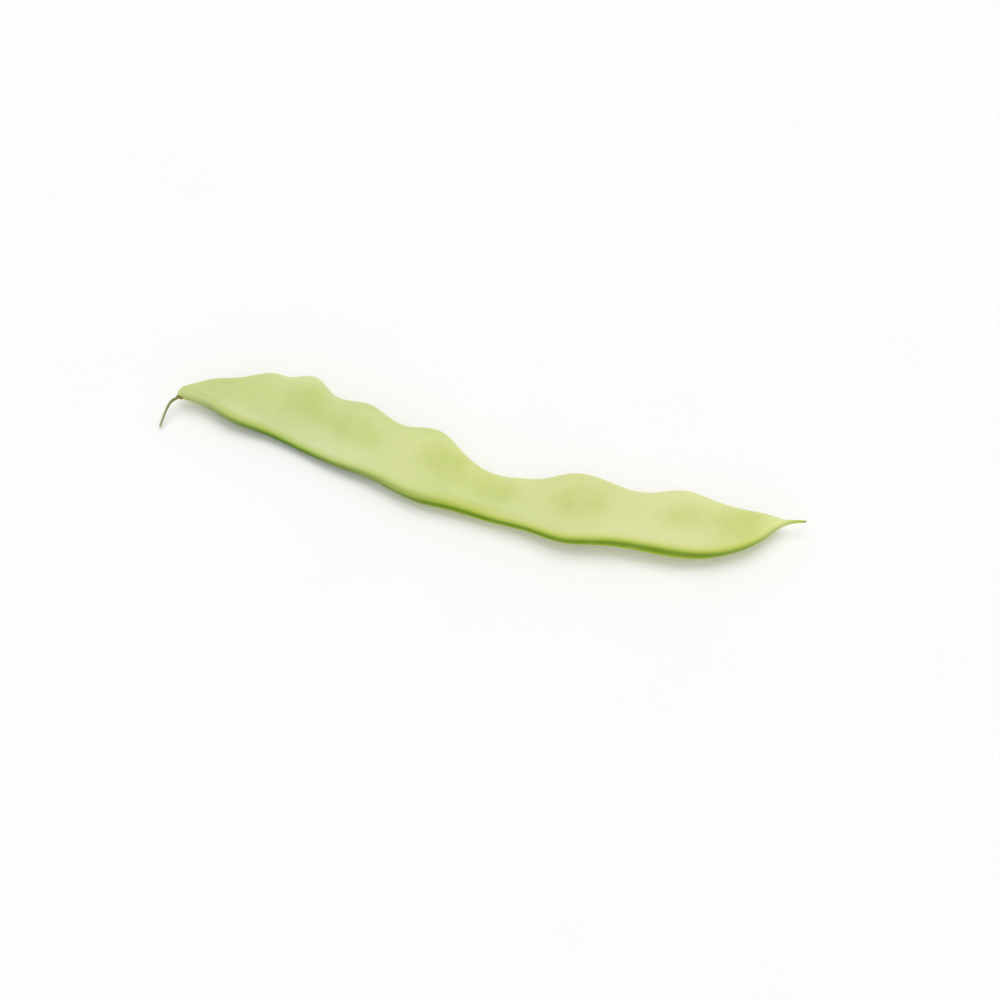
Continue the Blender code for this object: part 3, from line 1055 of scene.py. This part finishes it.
@dataclass(frozen=True)
class Calyx:
    """The flower's withered collar: a thin pleated cup on the neck with five short torn lobes."""

    length: float = 0.45
    lean: float = 0.35
    lobes: int = 5
    lobe_wave: float = 0.07
    profile: Rail = ((0.0, 0.85), (0.2, 1.0), (0.5, 1.0), (0.8, 0.75), (1.0, 0.5))
    gap: float = 0.05
    rings: int = 18
    pleats: int = 17
    pleat_depth: float = 0.035
    pleat_twist: float = 3.0
    lobe_grid: tuple[int, int] = (9, 10)
    lobe_length: float = 0.75
    lobe_width: float = 0.8
    lobe_thickness: float = 0.12
    lobe_splay: float = 0.35
    lobe_cupping: float = 0.15
    lobe_taper: float = 2.2
    lobe_tip: float = 0.03
    lobe_root: float = 0.4
    tears: float = 9.0
    tear_depth: float = 0.12
    unevenness: float = 0.25
    largest_lobe: float = 1.1
    draw: int = 4
    skin: DryCollar = DryCollar()

    def directions(self, neck: Array) -> tuple[Array, Array, Array]:
        """Finds the collar's own directions.

        Args:
            neck: the pod's first section.

        Returns:
            Direction off the pod, and the wide and the narrow way across the neck.
        """
        wide = unit(neck[0] - neck.mean(0))
        off = unit(np.cross(neck[len(neck) // 4] - neck.mean(0), wide))
        return off, wide, np.cross(off, wide)

    def cup_mesh(self, neck: Array, stalk_start: Array) -> Mesh:
        """Makes the pleated cup, which repeats the neck's outline and leans towards the stalk.

        Args:
            neck: the pod's first section.
            stalk_start: where the stalk begins.

        Returns:
            The cup's mesh.
        """
        middle = neck.mean(0)
        off = self.directions(neck)[0]
        to_stalk = stalk_start - middle
        lean = (to_stalk - off * to_stalk.dot(off)) * self.lean
        turn = np.linspace(0, 2 * math.pi, len(neck), endpoint=False)
        part = np.linspace(0, 1, self.rings)[:, None]
        waves = self.lobe_wave * np.cos(self.lobes * turn)
        waves = waves + self.pleat_depth * np.sin(self.pleats * turn + self.pleat_twist * part)
        size = (natural_spline(self.profile, part) * (1 + waves))[..., None]
        reach = (self.gap + part * self.length)[..., None]
        rings = middle + off * reach + lean * part[..., None] + (neck - middle) * size
        start, end = rings[0].mean(0), rings[-1].mean(0)
        return tube_mesh("calyx_cup", in_frame(rings), (in_frame(start), in_frame(end)))

    def lobe_mesh(self) -> Mesh:
        """Makes one lobe at the origin: a small pointed leaf with two faces, bent outwards along +Z.

        Returns:
            The lobe's mesh.
        """
        across, up = self.lobe_grid
        u, w = np.meshgrid(np.linspace(-1, 1, across), np.linspace(0, 1, up))
        ragged = 1 - self.tear_depth * np.sin(self.tears * w)
        width = self.lobe_width / 2 * (1 - w**self.lobe_taper) * ragged + self.lobe_tip
        bend = self.lobe_splay * self.lobe_length * w**2 - self.lobe_cupping * u**2 * (1 - w)
        sheet = np.stack([bend, u * width, w * self.lobe_length], -1)
        corners = [i * across + j for i in range(up - 1) for j in range(across - 1)]
        faces = [(a, a + 1, a + across + 1, a + across) for a in corners]
        mesh = bpy.data.meshes.new("calyx_lobe")
        mesh.from_pydata((sheet.reshape(-1, 3) * MM).tolist(), [], faces)
        leaf = bmesh.new()
        leaf.from_mesh(mesh)
        bmesh.ops.solidify(leaf, geom=leaf.faces[:], thickness=self.lobe_thickness * MM)
        bmesh.ops.recalc_face_normals(leaf, faces=leaf.faces)
        leaf.to_mesh(mesh)
        leaf.free()
        return mesh

    def crown(self, tree: Tree, given: dict[str, Socket], neck: Array) -> Node:
        """Stands the lobes round the cup's mouth and lays them on the pod.

        Args:
            tree: the lobes' tree.
            given: the tree's inputs.
            neck: the pod's first section.

        Returns:
            The node that holds the lobes.
        """
        off, wide, narrow = self.directions(neck)
        ring = add(tree, "GeometryNodeMeshCircle", {"Vertices": given["Lobes"], "Radius": 1.0})
        place = add(tree, "GeometryNodeInputPosition")
        shape = add(tree, "ShaderNodeCombineXYZ", {"X": given["Half Width"], "Y": given["Half Height"]})
        drawn = add(tree, "ShaderNodeVectorMath", {0: place, 1: shape}, operation="MULTIPLY")
        mouth = add(tree, "GeometryNodeSetPosition", {"Geometry": ring, "Position": drawn})
        facing = add(tree, "FunctionNodeAlignRotationToVector", {"Vector": place}, axis="X",
                     pivot_axis="Z")
        least = add(tree, "ShaderNodeMath", {0: 1.0, 1: given["Unevenness"]}, operation="SUBTRACT")
        size = add(tree, "FunctionNodeRandomValue", {
            "Min": least, "Max": given["Largest Lobe"], "Seed": given["Seed"]}, data_type="FLOAT")
        lobes = add(tree, "GeometryNodeInstanceOnPoints", {
            "Points": mouth, "Instance": given["Shape"], "Rotation": facing, "Scale": size})
        upright = Matrix([wide, -narrow, -off]).transposed().to_euler()
        root = neck.mean(0) + off * (self.gap + self.lobe_root * self.length)
        return add(tree, "GeometryNodeTransform", {
            "Geometry": lobes, "Rotation": tuple(upright), "Translation": tuple(in_frame(root))})

    def build(self, neck: Array, stalk_start: Array) -> None:
        """Makes the finished collar, cup and lobes in one piece, and dresses it.

        Args:
            neck: the pod's first section.
            stalk_start: where the stalk begins.
        """
        material = self.skin.material()
        half_width, half_height = (
            np.linalg.norm(neck[row] - neck.mean(0)) * MM for row in (0, len(neck) // 4))
        shape = Shape("calyx_crown", {
            "Lobes": self.lobes, "Half Width": half_width, "Half Height": half_height,
            "Unevenness": self.unevenness, "Largest Lobe": self.largest_lobe, "Seed": self.draw})
        crown = self.crown(shape.tree, shape.given, neck)
        lobes = shape.grow("calyx_lobes", self.lobe_mesh(), crown, material)
        cup = self.cup_mesh(neck, stalk_start)
        cup.materials.append(material)
        cup.shade_smooth()
        joined = bmesh.new()
        joined.from_mesh(cup)
        joined.from_mesh(lobes.data)
        for face in joined.faces:
            face.material_index = 0
        joined.to_mesh(cup)
        joined.free()
        bpy.data.objects.remove(lobes, do_unlink=True)
        fit_out(stand("bean_calyx", cup), "calyx")


@dataclass(frozen=True)
class SoftSun:
    """One broad even light from far away.

    Azimuth is 0 from the object's front and 90 from its right, spread is how wide the light looks,
    both in degrees like the elevation, and the strength is in watts for each square metre.
    """

    name: str
    azimuth: float
    elevation: float
    spread: float
    strength: float
    colour: str = "FFFFFF"

    def build(self) -> None:
        """Hangs the light."""
        lamp = bpy.data.lights.new(self.name, "SUN")
        lamp.angle = math.radians(self.spread)
        lamp.energy = self.strength
        lamp.color = linear(self.colour)[:3]
        aim(stand(self.name, lamp), Vector(), self.azimuth, self.elevation, 1.0)


@dataclass(frozen=True)
class Studio:
    """White paper, soft daylight from above and behind, and the camera, in metres and degrees."""

    floor_side: float = 30.0
    sky: str = "F8F9FA"
    sky_strengths: Range = (1.05, 0.6)
    sky_change: Range = (0.08, 0.3)
    lamps: tuple[SoftSun, ...] = (
        SoftSun("window_light", 188.0, 70.0, 50.0, 1.15, "FFFDF8"),
        SoftSun("fill_light", 30.0, 45.0, 90.0, 0.45),
    )
    azimuth: float = 13.33
    elevation: float = 57.0
    distance: float = 0.8001
    target: tuple[float, float, float] = (0.00951, -0.00789, 0.0)
    lens: float = 85.0
    sensor: float = 36.0
    paper: PaperSweep = PaperSweep()

    def build(self) -> None:
        """Sets up floor, light and camera."""
        self.lay_floor()
        for lamp in self.lamps:
            lamp.build()
        self.light_sky()
        self.stand_camera()
        bpy.context.scene.view_settings.view_transform = "Standard"

    def lay_floor(self) -> None:
        """Lays the paper, which is no part of the object."""
        half = self.floor_side / 2
        mesh = bpy.data.meshes.new("paper_floor")
        mesh.from_pydata([(-half, -half, 0), (half, -half, 0), (half, half, 0), (-half, half, 0)],
                         [], [(0, 1, 2, 3)])
        mesh.materials.append(self.paper.material())
        stand("paper_floor", mesh)

    def light_sky(self) -> None:
        """Fills the room with even pale light, brightest low down, where it meets the paper."""
        world = bpy.data.worlds.new("bright_room")
        world.use_nodes = True
        tree = world.node_tree
        way = add(tree, "ShaderNodeTexCoord").outputs["Generated"]
        height = add(tree, "ShaderNodeSeparateXYZ", {"Vector": way}).outputs["Z"]
        strength = add(tree, "ShaderNodeMapRange", {
            "Value": height, "From Min": self.sky_change[0], "From Max": self.sky_change[1],
            "To Min": self.sky_strengths[0], "To Max": self.sky_strengths[1]},
            interpolation_type="SMOOTHSTEP")
        feed(tree.nodes["Background"], {"Color": linear(self.sky), "Strength": strength})
        bpy.context.scene.world = world

    def stand_camera(self) -> None:
        """Stands the camera where the photograph's was."""
        camera = bpy.data.cameras.new("camera")
        camera.lens = self.lens
        camera.sensor_width = self.sensor
        holder = stand("camera", camera)
        aim(holder, Vector(self.target), self.azimuth, self.elevation, self.distance)
        bpy.context.scene.camera = holder


def main() -> None:
    """Builds the pod, its stalk and its collar, then the studio round them."""
    logging.basicConfig(level=logging.INFO, format="%(name)s %(message)s")
    pod, stalk, calyx = Pod(), Stalk(), Calyx()
    pod.build()
    stalk.build()
    calyx.build(pod.neck(), np.array(stalk.path[0]))
    Studio().build()


if __name__ == "__main__":
    main()
